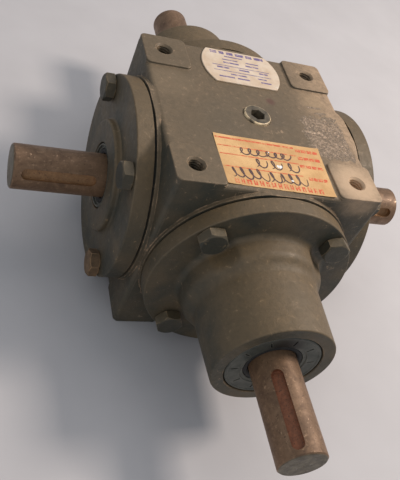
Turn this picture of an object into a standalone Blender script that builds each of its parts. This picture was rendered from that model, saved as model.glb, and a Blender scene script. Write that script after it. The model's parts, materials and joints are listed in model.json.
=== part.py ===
"""A four-way right angle bevel gearbox: a cube housing with mounting pads, a through cross shaft under two
end caps, and two pinion shafts in long quills. Straight mitre gears, taper roller bearings and lip seals are
inside. The origin is where the shaft axes cross, +X is the right end of the cross shaft, -Y is the front."""

import math

import bmesh
import bpy
from mathutils import Matrix

INCH = 0.0254
MM = 0.001

# Driving dimensions
HOUSING_HALF = 2.375 * INCH  # half the cube, across its faces and its mounting pads
PAD_EDGE = 33.0 * MM  # inner edges of the corner pads
PAD_RISE = 1.5 * MM
PAD_CORNER = 3.0 * MM
PAD_INSET = 0.05 * MM  # the pads' outer sides stand this far inside the cube's
PAD_HOLE_OFFSET = 1.875 * INCH
PAD_HOLE_RADIUS = 4.3 * MM
PAD_HOLE_DEPTH = 18.0 * MM
PAD_ROOT = 3.0 * MM  # how far a pad's block reaches down into the housing
HOUSING_EDGE = 2.5 * MM  # rounding of the four upright edges
SIDE_BOSS_RADIUS = 60.0 * MM
SIDE_BOSS_FACE = 62.4 * MM
SIDE_BOSS_FLAT = 0.2 * MM  # the bosses' flats stand this far inside the top and bottom faces
BORE_RADIUS = 43.5 * MM
CHAMBER_RADIUS = 51.0 * MM
PORT_BOTTOM = 40.8 * MM  # inside the chamber, so that the plug ports open into it
CLEAR = 0.3 * MM  # left between pieces that touch or run together

FLANGE_RADIUS = 2.3125 * INCH
FLANGE_BACK = 2.5 * INCH
FLANGE_FACE = 2.875 * INCH
FLANGE_CHAMFER = 0.6 * MM
SPIGOT_END = 50.0 * MM
BOLT_CIRCLE = 2.0 * INCH
BOLT_HEAD_FLATS = 0.5625 * INCH
BOLT_HEAD_HEIGHT = 6.0 * MM
BOLT_SHANK_RADIUS = 4.4 * MM
BOLT_HOLE_RADIUS = 4.76 * MM
BOLT_REACH = 45.0 * MM  # station of the shank's tip
GASKET_INSET = 0.8 * MM
GASKET_GAP = 0.2 * MM

CAP_BOSS_RADIUS = 32.4 * MM
CAP_BOSS_FACE = 76.9 * MM
CAP_BOSS_ROUND = 1.2 * MM
CAP_SEAL_RADIUS = 19.05 * MM
CAP_SEAL_DEPTH = 6.0 * MM
CAP_WALL = 3.0 * MM  # the wall between a cap's bearing and its seal
SEAL_SETBACK = 0.4 * MM

SHOULDER_RADIUS = 40.2 * MM
SHOULDER_END = 84.0 * MM
BARREL_START = 88.7 * MM
BARREL_ROOT_RADIUS = 34.6 * MM
BARREL_END_RADIUS = 33.4 * MM
BARREL_END = 126.4 * MM
BARREL_CHAMFER = 0.7 * MM
BOLT_RELIEF_RADIUS = 12.5 * MM
BOLT_RELIEF_END = 92.0 * MM
QUILL_SEAL_RADIUS = 26.2 * MM
QUILL_SEAL_DEPTH = 6.5 * MM
QUILL_WALL = 2.0 * MM
QUILL_LAND = 4.0 * MM  # how far the land between the two bearings stands in from their bore

SHAFT_RADIUS = 0.5 * INCH
SHAFT_CHAMFER = 0.8 * MM
CROSS_SHAFT_END = 5.0 * INCH
PINION_SHAFT_START = 22.0 * MM
PINION_SHAFT_END = 178.8 * MM
KEYWAY_WIDTH = 0.25 * INCH
KEYWAY_DEPTH = 0.125 * INCH
CROSS_KEYWAY = (81.0 * MM, 122.3 * MM)
PINION_KEYWAY = (134.3 * MM, 175.6 * MM)
GEAR_KEYWAY = (28.0 * MM, 47.0 * MM)

BEARING_OUTER = 25.15 * MM
BEARING_WIDTH = 14.2 * MM
CAP_BEARING_START = 51.0 * MM
QUILL_BEARING_STARTS = {"inner": 51.0 * MM, "outer": 101.8 * MM}
ROLLER_COUNT = 10
ROLLER_RADIUS = 2.0 * MM
ROLLER_CIRCLE = 19.3 * MM
ROLLER_TILT = 0.7 * MM  # how far the roller circle grows or shrinks from mid-width to an end
ROLLER_END_GAP = 1.2 * MM
CAGE_WEB = 0.7 * MM

TEETH = 16
PITCH_RADIUS = 36.0 * MM
FACE_WIDTH = 15.0 * MM
PRESSURE_ANGLE = math.radians(20)
BACKLASH = 0.25 * MM  # taken off each tooth at the pitch line
GEAR_CONE = math.radians(45)  # both gears have the same teeth, so their pitch cones are half a right angle
GEAR_MODULE = 2 * PITCH_RADIUS / TEETH
ADDENDUM = 0.9 * GEAR_MODULE
TOOTH_BACKING = 2.2 * GEAR_MODULE  # from the pitch cone to the back of the rim
TOE_BACKING = 1.9 * GEAR_MODULE
GAP_STEPS = (-1.2, -0.5, 0.2, 1.1)  # modules above the pitch circle at a tooth gap's points
GEAR_HUB_RADIUS = 24.0 * MM
GEAR_HUB_STEP = 1.0 * MM
GEAR_BACK = 50.4 * MM

PLUG_RADIUS = 8.2 * MM
PLUG_SOCKET_FLATS = 0.3125 * INCH
PLUG_SOCKET_DEPTH = 7.0 * MM
PLUG_LENGTH = 10.5 * MM
PLUG_CHAMFER = 0.8 * MM
PLUG_TAPER = 0.3 * MM
FILL_PLUG_TOP = 60.2 * MM
DRAIN_PLUG_TOP = 57.6 * MM

NAMEPLATE_CENTRE = (1.1 * MM, 43.0 * MM)
NAMEPLATE_RADIUS = 1.0 * INCH
NAMEPLATE_HALF_HEIGHT = 0.625 * INCH
NAMEPLATE_THICKNESS = 0.6 * MM
LABEL_CORNERS = ((-32.6, -57.6), (30.6, -59.4), (32.2, -21.6), (-32.4, -20.4))  # mm
LABEL_THICKNESS = 0.3 * MM

TOP_FACE = HOUSING_HALF - PAD_RISE
ROUND = 32  # sides of the large turned pieces
SMALL_ROUND = 20
SEAL_ROUND = 24

# Each side's own frame has +Z pointing out of the housing.
OUTWARD = {
    "right": Matrix.Rotation(math.radians(90), 4, "Y"),
    "left": Matrix.Rotation(math.radians(-90), 4, "Y"),
    "front": Matrix.Rotation(math.radians(90), 4, "X"),
    "rear": Matrix.Rotation(math.radians(-90), 4, "X"),
    "top": Matrix.Identity(4),
    "bottom": Matrix.Rotation(math.radians(180), 4, "X"),
}
KEYWAY_ANGLE = {"right": 245, "front": 120, "rear": 60}  # degrees, in the side's frame
BOLT_ANGLES = (45, 135, 225, 315)
BOLT_TURN = {"left": 8, "right": 20, "front": 3, "rear": 14}  # degrees that a side's bolt heads are turned
BOLT_TURN_STEP = 17  # degrees more from each bolt to the next

for old in list(bpy.data.objects):
    bpy.data.objects.remove(old)
PARTS = bpy.data.collections.new("bevel_gearbox")
CUTTERS = bpy.data.collections.new("cutters")
for collection in (PARTS, CUTTERS):
    bpy.context.scene.collection.children.link(collection)


def material(name, colour, roughness, metallic=0.0):
    made = bpy.data.materials.new(name)
    made.use_nodes = True
    shader = made.node_tree.nodes["Principled BSDF"]
    shader.inputs["Base Color"].default_value = (*colour, 1)
    shader.inputs["Roughness"].default_value = roughness
    shader.inputs["Metallic"].default_value = metallic
    return made


PAINT = material("housing_paint", (0.085, 0.08, 0.06), 0.5)
CAP_PAINT = material("cap_paint", (0.075, 0.08, 0.07), 0.5)
SHAFT_STEEL = material("shaft_steel", (0.19, 0.10, 0.06), 0.4, 0.7)
GEAR_STEEL = material("gear_steel", (0.32, 0.31, 0.30), 0.35, 0.9)
BEARING_STEEL = material("bearing_steel", (0.45, 0.45, 0.46), 0.25, 1.0)
BOLT_STEEL = material("bolt_steel", (0.11, 0.085, 0.055), 0.5, 0.4)
PLUG_STEEL = material("plug_steel", (0.2, 0.18, 0.14), 0.4, 0.7)
SEAL_STEEL = material("seal_steel", (0.075, 0.085, 0.085), 0.55)
GASKET = material("gasket", (0.03, 0.025, 0.022), 0.9)
PLATE = material("nameplate", (0.55, 0.48, 0.47), 0.4, 0.3)
PAPER = material("label_paper", (0.72, 0.47, 0.22), 0.8)


def add(name, mesh, finish, frame=None):
    """A part made of the mesh, placed by a frame."""
    made = bpy.data.objects.new(name, mesh)
    mesh.materials.clear()
    mesh.materials.append(finish)
    mesh.shade_smooth()
    mesh.set_sharp_from_angle(angle=math.radians(35))
    PARTS.objects.link(made)
    made.matrix_world = frame or Matrix.Identity(4)
    return made


def helper(name, mesh, frame=None):
    """A cutter, or a shape that is joined to a part. It is no part of the object itself."""
    made = bpy.data.objects.new(name, mesh)
    made.hide_render = True
    made.display_type = "WIRE"
    CUTTERS.objects.link(made)
    made.matrix_world = frame or Matrix.Identity(4)
    return made


def boolean(target, other, operation="DIFFERENCE"):
    modifier = target.modifiers.new(other.name, "BOOLEAN")
    modifier.operation = operation
    modifier.solver = "EXACT"
    modifier.object = other


def baked(target):
    """The target's mesh with its modifiers applied. The target and the helpers it used are removed."""
    bpy.context.view_layer.update()
    graph = bpy.context.evaluated_depsgraph_get()
    mesh = bpy.data.meshes.new_from_object(target.evaluated_get(graph))
    used = [modifier.object for modifier in target.modifiers if modifier.type == "BOOLEAN"]
    for old in [target, *used]:
        bpy.data.objects.remove(old)
    return mesh


def screw(target, sides):
    modifier = target.modifiers.new("turn", "SCREW")
    modifier.steps = sides
    modifier.render_steps = sides
    modifier.use_merge_vertices = True
    modifier.merge_threshold = 0.00001


def profile_mesh(name, profile):
    """A closed loop of (radius, station) points, in the XZ plane."""
    mesh = bpy.data.meshes.new(name)
    count = len(profile)
    edges = [(i, (i + 1) % count) for i in range(count)]
    mesh.from_pydata([(radius, 0, station) for radius, station in profile], edges, [])
    return mesh


def turned_mesh(name, profile, sides=ROUND):
    """The solid that the profile sweeps about Z. The profile runs down its outer side, top to bottom."""
    carrier = helper(name, profile_mesh(name, profile))
    screw(carrier, sides)
    return baked(carrier)


def turned(name, profile, finish, frame, sides=ROUND):
    """A part that keeps its profile and its Screw modifier."""
    part = add(name, profile_mesh(name, profile), finish, frame)
    screw(part, sides)
    return part


def cylinder_mesh(name, radius, bottom, top, sides=SMALL_ROUND, centres=((0, 0),)):
    """Upright cylinders, one at each centre."""
    bm = bmesh.new()
    for centre in centres:
        bmesh.ops.create_cone(
            bm,
            cap_ends=True,
            segments=sides,
            radius1=radius,
            radius2=radius,
            depth=top - bottom,
            matrix=Matrix.Translation((*centre, (bottom + top) / 2)),
        )
    mesh = bpy.data.meshes.new(name)
    bm.to_mesh(mesh)
    bm.free()
    return mesh


def prism_mesh(name, outline, bottom, top):
    """The flat outline, filled and extruded along Z."""
    curve = bpy.data.curves.new(name, "CURVE")
    curve.dimensions = "2D"
    curve.fill_mode = "BOTH"
    curve.extrude = (top - bottom) / 2
    spline = curve.splines.new("POLY")
    spline.points.add(len(outline) - 1)
    for point, (x, y) in zip(spline.points, outline):
        point.co = (x, y, 0, 1)
    spline.use_cyclic_u = True
    mesh = baked(helper(name, curve))
    bpy.data.curves.remove(curve)
    bm = bmesh.new()
    bm.from_mesh(mesh)
    bmesh.ops.remove_doubles(bm, verts=bm.verts, dist=1e-6)
    bmesh.ops.dissolve_limit(bm, angle_limit=0.001, verts=bm.verts, edges=bm.edges)
    bmesh.ops.recalc_face_normals(bm, faces=bm.faces)
    bmesh.ops.translate(bm, verts=bm.verts, vec=(0, 0, (bottom + top) / 2))
    bm.to_mesh(mesh)
    bm.free()
    return mesh


def arc(centre, radius, start, end, steps):
    """Points on an arc, angles in degrees."""
    angles = [math.radians(start + (end - start) * i / steps) for i in range(steps + 1)]
    return [(centre[0] + radius * math.cos(a), centre[1] + radius * math.sin(a)) for a in angles]


def flattened_circle(radius, half_height, steps=12):
    """A circle cut flat above and below."""
    reach = math.degrees(math.asin(half_height / radius))
    return arc((0, 0), radius, -reach, reach, steps) + arc((0, 0), radius, 180 - reach, 180 + reach, steps)


def slot(start, end, width):
    """A slot along X with round ends."""
    half = width / 2
    return arc((start + half, 0), half, 90, 270, 8) + arc((end - half, 0), half, -90, 90, 8)


def bolt_centres():
    angles = [math.radians(degrees) for degrees in BOLT_ANGLES]
    return [(BOLT_CIRCLE * math.cos(angle), BOLT_CIRCLE * math.sin(angle)) for angle in angles]


def housing():
    bm = bmesh.new()
    block = Matrix.Diagonal((2 * HOUSING_HALF, 2 * HOUSING_HALF, 2 * TOP_FACE, 1))
    bmesh.ops.create_cube(bm, size=1, matrix=block)
    upright = [e for e in bm.edges if abs(e.verts[0].co.z - e.verts[1].co.z) > TOP_FACE]
    bmesh.ops.bevel(bm, geom=upright, offset=HOUSING_EDGE, segments=3, profile=0.5, affect="EDGES")
    mesh = bpy.data.meshes.new("housing")
    bm.to_mesh(mesh)
    bm.free()
    body = add("housing", mesh, PAINT)

    low = PAD_EDGE + PAD_CORNER
    high = HOUSING_HALF - PAD_INSET - PAD_CORNER
    pad = []
    for centre, start in (((high, high), 0), ((low, high), 90), ((low, low), 180), ((high, low), 270)):
        pad += arc(centre, PAD_CORNER, start, start + 90, 3)
    for side in ("top", "bottom"):
        for quarter in range(4):
            mesh = prism_mesh("pad", pad, TOP_FACE - PAD_ROOT, HOUSING_HALF)
            frame = OUTWARD[side] @ Matrix.Rotation(math.radians(90 * quarter), 4, "Z")
            boolean(body, helper(f"{side}_pad_{quarter + 1}", mesh, frame), "UNION")

    rim = flattened_circle(SIDE_BOSS_RADIUS, TOP_FACE - SIDE_BOSS_FLAT)
    for name, frame in (
        ("cross_bosses", OUTWARD["right"] @ Matrix.Rotation(math.radians(90), 4, "Z")),
        ("quill_bosses", OUTWARD["front"]),
    ):
        bosses = prism_mesh(name, rim, -SIDE_BOSS_FACE, SIDE_BOSS_FACE)
        boolean(body, helper(name, bosses, frame), "UNION")
    far = 1.2 * HOUSING_HALF
    for name, side in (("cross_bore", "right"), ("quill_bore", "front")):
        bore = cylinder_mesh(name, BORE_RADIUS, -2 * far, 2 * far, ROUND)
        boolean(body, helper(name, bore, OUTWARD[side]))
    bm = bmesh.new()
    bmesh.ops.create_uvsphere(bm, u_segments=SMALL_ROUND, v_segments=10, radius=CHAMBER_RADIUS)
    chamber = bpy.data.meshes.new("chamber")
    bm.to_mesh(chamber)
    bm.free()
    boolean(body, helper("chamber", chamber))

    for side in ("left", "right", "front", "rear"):
        holes = cylinder_mesh("holes", BOLT_HOLE_RADIUS, BOLT_REACH - MM, far, 8, bolt_centres())
        boolean(body, helper(side + "_bolt_holes", holes, OUTWARD[side]))
    offsets = (-PAD_HOLE_OFFSET, PAD_HOLE_OFFSET)
    corners = [(x, y) for x in offsets for y in offsets]
    for side in ("top", "bottom"):
        holes = cylinder_mesh("holes", PAD_HOLE_RADIUS, HOUSING_HALF - PAD_HOLE_DEPTH, far, 12, corners)
        boolean(body, helper(side + "_pad_holes", holes, OUTWARD[side]))
        port = cylinder_mesh("port", PLUG_RADIUS + CLEAR, PORT_BOTTOM, far, SMALL_ROUND)
        boolean(body, helper(side + "_port", port, OUTWARD[side]))
    return body


def flange_profile():
    """The flange's outer edge, from its front face's edge back to the spigot's end."""
    spigot = BORE_RADIUS - CLEAR
    return [
        (FLANGE_RADIUS - FLANGE_CHAMFER, FLANGE_FACE),
        (FLANGE_RADIUS, FLANGE_FACE - FLANGE_CHAMFER),
        (FLANGE_RADIUS, FLANGE_BACK),
        (spigot, FLANGE_BACK),
        (spigot, SPIGOT_END),
        (BEARING_OUTER + CLEAR, SPIGOT_END),
    ]


def cut_flange_holes(part, side):
    holes = cylinder_mesh("holes", BOLT_SHANK_RADIUS + 2 * CLEAR, SPIGOT_END, BARREL_END, 8, bolt_centres())
    boolean(part, helper(side + "_flange_holes", holes, OUTWARD[side]))


def cap(side):
    seat = CAP_BEARING_START + BEARING_WIDTH + CLEAR
    pocket = CAP_SEAL_RADIUS + CLEAR
    profile = [
        (CAP_BOSS_RADIUS - CAP_BOSS_ROUND, CAP_BOSS_FACE),
        (CAP_BOSS_RADIUS, CAP_BOSS_FACE - CAP_BOSS_ROUND),
        (CAP_BOSS_RADIUS + 0.5 * MM, FLANGE_FACE),
        *flange_profile(),
        (BEARING_OUTER + CLEAR, seat),
        (CAP_SEAL_RADIUS - CAP_WALL, seat),
        (CAP_SEAL_RADIUS - CAP_WALL, seat + CAP_WALL),
        (pocket, seat + CAP_WALL),
        (pocket, CAP_BOSS_FACE),
    ]
    cut_flange_holes(turned(side + "_cap", profile, CAP_PAINT, OUTWARD[side]), side)


def quill(side):
    inner_seat = QUILL_BEARING_STARTS["inner"] + BEARING_WIDTH + CLEAR
    outer_seat = QUILL_BEARING_STARTS["outer"] - CLEAR
    outer_seat_end = QUILL_BEARING_STARTS["outer"] + BEARING_WIDTH + CLEAR
    bearing_bore = BEARING_OUTER + CLEAR
    land = BEARING_OUTER - QUILL_LAND
    neck = CAP_SEAL_RADIUS - QUILL_WALL
    pocket = QUILL_SEAL_RADIUS + CLEAR
    profile = [
        (BARREL_END_RADIUS - BARREL_CHAMFER, BARREL_END),
        (BARREL_END_RADIUS, BARREL_END - BARREL_CHAMFER),
        (BARREL_ROOT_RADIUS, BARREL_START),
        (SHOULDER_RADIUS - 1.2 * MM, SHOULDER_END),
        (SHOULDER_RADIUS, FLANGE_FACE + 2.5 * MM),
        (SHOULDER_RADIUS + 2.5 * MM, FLANGE_FACE),
        *flange_profile(),
        (bearing_bore, inner_seat),
        (land, inner_seat),
        (land, outer_seat),
        (bearing_bore, outer_seat),
        (bearing_bore, outer_seat_end),
        (neck, outer_seat_end),
        (neck, outer_seat_end + QUILL_WALL),
        (pocket, outer_seat_end + QUILL_WALL),
        (pocket, BARREL_END),
    ]
    part = turned(side + "_quill", profile, CAP_PAINT, OUTWARD[side])
    relief = cylinder_mesh("relief", BOLT_RELIEF_RADIUS, FLANGE_FACE, BOLT_RELIEF_END, 16, bolt_centres())
    boolean(part, helper(side + "_bolt_reliefs", relief, OUTWARD[side]))
    cut_flange_holes(part, side)


def gasket(side):
    outer = FLANGE_RADIUS - GASKET_INSET
    inner = BORE_RADIUS + GASKET_INSET
    top = FLANGE_BACK - GASKET_GAP
    bottom = SIDE_BOSS_FACE + GASKET_GAP
    profile = [(outer, top), (outer, bottom), (inner, bottom), (inner, top)]
    part = turned(side + "_gasket", profile, GASKET, OUTWARD[side], SEAL_ROUND)
    holes = cylinder_mesh("holes", BOLT_HOLE_RADIUS, SPIGOT_END, FLANGE_FACE, 8, bolt_centres())
    boolean(part, helper(side + "_gasket_holes", holes, OUTWARD[side]))


def bolt_mesh():
    seat = FLANGE_FACE + CLEAR
    corner = BOLT_HEAD_FLATS / math.sqrt(3)
    head = helper("bolt", cylinder_mesh("head", corner, seat, seat + BOLT_HEAD_HEIGHT, 6))
    shank = cylinder_mesh("shank", BOLT_SHANK_RADIUS, BOLT_REACH, seat + MM, 8)
    boolean(head, helper("shank", shank), "UNION")
    return baked(head)


def flange_bolts(side, holder, mesh):
    for number, centre in enumerate(bolt_centres(), start=1):
        turn = Matrix.Rotation(math.radians(BOLT_TURN[side] + BOLT_TURN_STEP * number), 4, "Z")
        frame = OUTWARD[side] @ Matrix.Translation((*centre, 0)) @ turn
        add(f"{holder}_bolt_{number}", mesh, BOLT_STEEL, frame)


def seal(name, side, radius, face, depth):
    """A lip seal: a case with its face set back, open round the shaft, and a lip that all but meets it."""
    mouth = SHAFT_RADIUS + 2.2 * MM
    lip = SHAFT_RADIUS + CLEAR
    profile = [
        (radius, face),
        (radius, face - depth),
        (lip, face - depth),
        (lip, face - 0.55 * depth),
        (mouth, face - 0.3 * depth),
        (mouth, face),
    ]
    turned(name, profile, SEAL_STEEL, OUTWARD[side], SEAL_ROUND)


def cage_mesh():
    """The rollers and the cage that spaces them, as one ring of lobes that leans with the raceways."""
    half = BEARING_WIDTH / 2 - ROLLER_END_GAP
    pitch = 2 * math.pi / ROLLER_COUNT
    lobe = ROLLER_RADIUS / ROLLER_CIRCLE
    steps = [(-lobe, CAGE_WEB), (-0.55 * lobe, ROLLER_RADIUS), (0.55 * lobe, ROLLER_RADIUS), (lobe, CAGE_WEB)]

    def loop(bm, station, shift, side):
        verts = []
        for roller in range(ROLLER_COUNT):
            for angle, reach in steps:
                radius = ROLLER_CIRCLE + shift + side * reach
                turn = roller * pitch + angle
                verts.append(bm.verts.new((radius * math.cos(turn), radius * math.sin(turn), station)))
        return verts

    bm = bmesh.new()
    loops = [
        loop(bm, half, -ROLLER_TILT, 1),
        loop(bm, -half, ROLLER_TILT, 1),
        loop(bm, -half, ROLLER_TILT, -1),
        loop(bm, half, -ROLLER_TILT, -1),
    ]
    for upper, lower in zip(loops, loops[1:] + loops[:1]):
        for i in range(len(upper)):
            bm.faces.new((upper[i], lower[i], lower[i - 1], upper[i - 1]))
    bmesh.ops.recalc_face_normals(bm, faces=bm.faces)
    mesh = bpy.data.meshes.new("roller_cage")
    bm.to_mesh(mesh)
    bm.free()
    return mesh


def bearing(name, side, start, mesh):
    """A taper roller bearing: cup, cone, and rollers in their cage."""
    end = start + BEARING_WIDTH
    raceway = ROLLER_RADIUS + 2 * CLEAR
    cup = [
        (BEARING_OUTER, end),
        (BEARING_OUTER, start),
        (ROLLER_CIRCLE + raceway + ROLLER_TILT, start),
        (ROLLER_CIRCLE + raceway - ROLLER_TILT, end),
    ]
    cone = [
        (ROLLER_CIRCLE - raceway - ROLLER_TILT, end),
        (ROLLER_CIRCLE - raceway + ROLLER_TILT, start),
        (SHAFT_RADIUS + CLEAR, start),
        (SHAFT_RADIUS + CLEAR, end),
    ]
    turned(name + "_cup", cup, BEARING_STEEL, OUTWARD[side], SMALL_ROUND)
    turned(name + "_cone", cone, BEARING_STEEL, OUTWARD[side], SMALL_ROUND)
    middle = Matrix.Translation((0, 0, (start + end) / 2))
    add(name + "_rollers", mesh, BEARING_STEEL, OUTWARD[side] @ middle)


def along_keyway(side):
    """A frame whose X runs out along the side's shaft and whose Z points out of its keyway."""
    turn = Matrix.Rotation(math.radians(KEYWAY_ANGLE[side] + 180), 4, "Z")
    return OUTWARD[side] @ turn @ Matrix.Rotation(math.radians(-90), 4, "Y")


def shaft(name, side, start, end, keyways):
    profile = [
        (0, end),
        (SHAFT_RADIUS - SHAFT_CHAMFER, end),
        (SHAFT_RADIUS, end - SHAFT_CHAMFER),
        (SHAFT_RADIUS, start + SHAFT_CHAMFER),
        (SHAFT_RADIUS - SHAFT_CHAMFER, start),
        (0, start),
    ]
    part = add(name, turned_mesh(name, profile, SEAL_ROUND), SHAFT_STEEL, OUTWARD[side])
    floor = SHAFT_RADIUS - KEYWAY_DEPTH
    for number, (near, far) in enumerate(keyways, start=1):
        mesh = prism_mesh("keyway", slot(near, far, KEYWAY_WIDTH), floor, SHAFT_RADIUS * 1.2)
        boolean(part, helper(f"{name}_keyway_{number}", mesh, along_keyway(side)))


def tooth_gap_outline():
    """Half the gap between two teeth as (distance from the gear's axis, station, half angle) at the heel.

    The teeth are involutes drawn on the back cone, which is rolled flat to a spur gear of the same pitch."""
    flat_pitch = PITCH_RADIUS / math.cos(GEAR_CONE)
    base = flat_pitch * math.cos(PRESSURE_ANGLE)
    back_apex = PITCH_RADIUS / (math.sin(GEAR_CONE) * math.cos(GEAR_CONE))
    tooth = math.pi * GEAR_MODULE / 2 - BACKLASH
    radii = [flat_pitch + GEAR_MODULE * step for step in GAP_STEPS]
    outline = []
    for radius in radii:
        pressure = math.acos(min(1, base / radius))
        involute = math.tan(PRESSURE_ANGLE) - PRESSURE_ANGLE - (math.tan(pressure) - pressure)
        tooth_half = (tooth / (2 * flat_pitch) + involute) / math.cos(GEAR_CONE)
        station = back_apex - radius * math.sin(GEAR_CONE)
        outline.append((radius * math.cos(GEAR_CONE), station, math.pi / TEETH - tooth_half))
    return outline


def gear_mesh():
    """A straight bevel gear with its apex at the origin, its teeth facing the origin, and a tooth at +X."""
    toe = 1 - FACE_WIDTH * math.sin(GEAR_CONE) / PITCH_RADIUS  # the small end, as a share of the heel
    tip = PITCH_RADIUS + ADDENDUM * math.cos(GEAR_CONE)
    tip_station = PITCH_RADIUS - ADDENDUM * math.sin(GEAR_CONE)
    web = PITCH_RADIUS - TOOTH_BACKING * math.cos(GEAR_CONE)
    web_station = PITCH_RADIUS + TOOTH_BACKING * math.sin(GEAR_CONE)
    front_web = 0.92 * web * toe
    front_station = (tip_station + TOE_BACKING) * toe
    bore = SHAFT_RADIUS + CLEAR
    profile = [
        (GEAR_HUB_RADIUS, GEAR_BACK),
        (GEAR_HUB_RADIUS, web_station + GEAR_HUB_STEP),
        (web, web_station),
        (tip, tip_station),
        (tip * toe, tip_station * toe),
        (front_web, front_station),
        (bore, front_station),
        (bore, GEAR_BACK),
    ]
    blank = helper("gear", turned_mesh("blank", profile, 2 * TEETH))
    heel_outline = tooth_gap_outline()
    beyond_heel, beyond_toe = 1.12, 0.85 * toe
    bm = bmesh.new()
    for gap in range(TEETH):
        middle = (gap + 0.5) * 2 * math.pi / TEETH
        ends = []
        for scale in (beyond_heel, beyond_toe):
            flank = [(r, s, middle + a) for r, s, a in heel_outline]
            flank += [(r, s, middle - a) for r, s, a in reversed(heel_outline)]
            points = [(r * math.cos(a), r * math.sin(a), s) for r, s, a in flank]
            ends.append([bm.verts.new([scale * part for part in point]) for point in points])
        heel, toe_end = ends
        bm.faces.new(heel)
        bm.faces.new(reversed(toe_end))
        for i in range(len(heel)):
            bm.faces.new((heel[i - 1], toe_end[i - 1], toe_end[i], heel[i]))
    bmesh.ops.recalc_face_normals(bm, faces=bm.faces)
    gaps = bpy.data.meshes.new("tooth_gaps")
    bm.to_mesh(gaps)
    bm.free()
    boolean(blank, helper("tooth_gaps", gaps))
    return baked(blank)


def gear(name, side, mesh, turn):
    """A gear on its shaft, turned about its axis, with the key that drives it."""
    part = add(name, mesh.copy(), GEAR_STEEL, OUTWARD[side] @ Matrix.Rotation(turn, 4, "Z"))
    start, end = GEAR_KEYWAY
    keyway = prism_mesh("keyway", slot(0, 2 * GEAR_BACK, KEYWAY_WIDTH), 0, SHAFT_RADIUS + KEYWAY_DEPTH)
    boolean(part, helper(name + "_keyway", keyway, along_keyway(side)))
    key_outline = slot(start + CLEAR, end - CLEAR, KEYWAY_WIDTH - 2 * CLEAR)
    key_floor = SHAFT_RADIUS - KEYWAY_DEPTH + CLEAR
    key = prism_mesh(name + "_key", key_outline, key_floor, SHAFT_RADIUS + KEYWAY_DEPTH - CLEAR)
    add(name + "_key", key, GEAR_STEEL, along_keyway(side))


def plug(name, side, top):
    """A taper plug with a hexagon socket."""
    bottom = top - PLUG_LENGTH
    profile = [
        (0, top),
        (PLUG_RADIUS - PLUG_CHAMFER, top),
        (PLUG_RADIUS, top - PLUG_CHAMFER),
        (PLUG_RADIUS - PLUG_TAPER, bottom),
        (0, bottom),
    ]
    part = add(name, turned_mesh(name, profile, SMALL_ROUND), PLUG_STEEL, OUTWARD[side])
    socket = cylinder_mesh("socket", PLUG_SOCKET_FLATS / math.sqrt(3), top - PLUG_SOCKET_DEPTH, top + MM, 6)
    boolean(part, helper(name + "_socket", socket, OUTWARD[side]))


def nameplate():
    rest = TOP_FACE + CLEAR
    outline = flattened_circle(NAMEPLATE_RADIUS, NAMEPLATE_HALF_HEIGHT, 10)
    mesh = prism_mesh("nameplate", outline, rest, rest + NAMEPLATE_THICKNESS)
    add("nameplate", mesh, PLATE, Matrix.Translation((*NAMEPLATE_CENTRE, 0)))


def paper_label():
    rest = TOP_FACE + CLEAR
    outline = [(x * MM, y * MM) for x, y in LABEL_CORNERS]
    add("paper_label", prism_mesh("paper_label", outline, rest, rest + LABEL_THICKNESS), PAPER)


housing()
BOLT = bolt_mesh()
CAGE = cage_mesh()
GEAR = gear_mesh()

for side in ("left", "right"):
    cap(side)
    gasket(side)
    flange_bolts(side, side + "_cap", BOLT)
    seal(side + "_seal", side, CAP_SEAL_RADIUS, CAP_BOSS_FACE - SEAL_SETBACK, CAP_SEAL_DEPTH)
    bearing(side + "_bearing", side, CAP_BEARING_START, CAGE)
for side in ("front", "rear"):
    quill(side)
    gasket(side)
    flange_bolts(side, side + "_quill", BOLT)
    seal(side + "_seal", side, QUILL_SEAL_RADIUS, BARREL_END - SEAL_SETBACK, QUILL_SEAL_DEPTH)
    for place, start in QUILL_BEARING_STARTS.items():
        bearing(f"{side}_{place}_bearing", side, start, CAGE)
    shaft(side + "_pinion_shaft", side, PINION_SHAFT_START, PINION_SHAFT_END, (GEAR_KEYWAY, PINION_KEYWAY))
    gear(side + "_pinion", side, GEAR, math.pi / TEETH)

near, far = CROSS_KEYWAY
shaft("cross_shaft", "right", -CROSS_SHAFT_END, CROSS_SHAFT_END, (GEAR_KEYWAY, (near, far), (-far, -near)))
gear("cross_gear", "right", GEAR, 0.0)
plug("fill_plug", "top", FILL_PLUG_TOP)
plug("drain_plug", "bottom", DRAIN_PLUG_TOP)
nameplate()
paper_label()
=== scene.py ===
"""The looks of a four-way right angle bevel gearbox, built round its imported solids. The frame is theirs: the
shaft axes cross at the origin, +X is the right end of the cross shaft, -Y is the front and +Z is up."""

import json
import math

import bmesh
import bpy
from mathutils import Euler, Matrix, Vector, noise

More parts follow.
